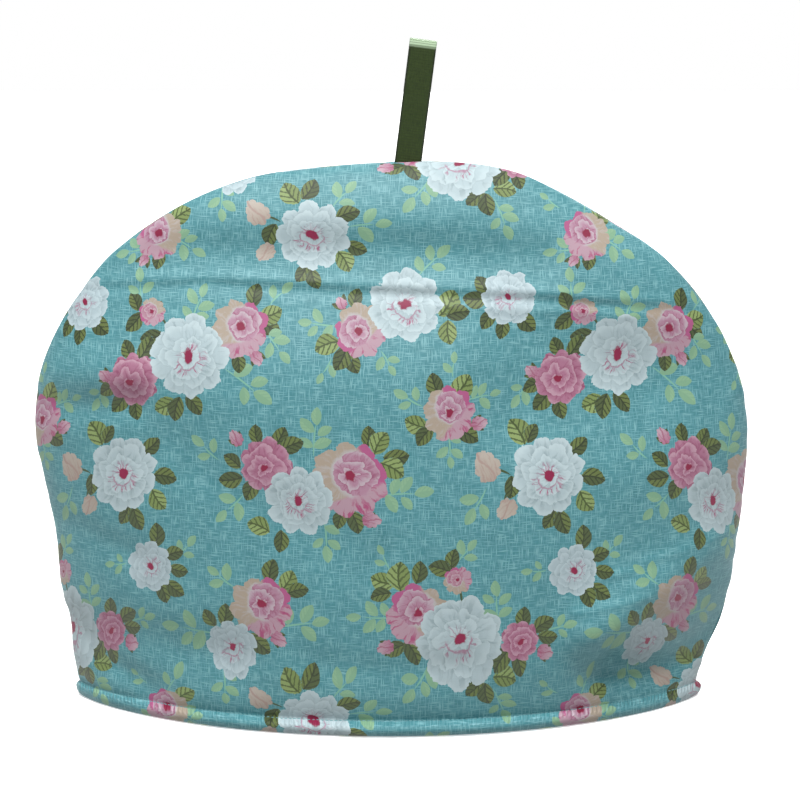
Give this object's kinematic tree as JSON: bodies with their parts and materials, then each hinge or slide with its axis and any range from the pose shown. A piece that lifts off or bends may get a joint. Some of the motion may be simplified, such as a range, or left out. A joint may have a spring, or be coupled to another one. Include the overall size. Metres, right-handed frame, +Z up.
{
  "type": "tea cosy",
  "caption": "Padded dome cover for a teapot: printed cotton panels seamed round the edge, open along the hem, with a ribbon loop at the crown.",
  "frame": {"origin": "on the surface under the middle of the cosy, in the plane of the seam", "axes": "+Z up, from the hem to the crown; +X along the seam to the right as seen from the front; the front panel is on the -Y side"},
  "size_m": [0.3398, 0.1144, 0.3157],
  "materials": {
    "printed_cotton": "matte",
    "grosgrain_ribbon": "satin"
  },
  "bodies": {
    "root": {"front_panel": "printed_cotton", "back_panel": "printed_cotton", "ribbon_loop": "grosgrain_ribbon"}
  },
  "joints": []
}
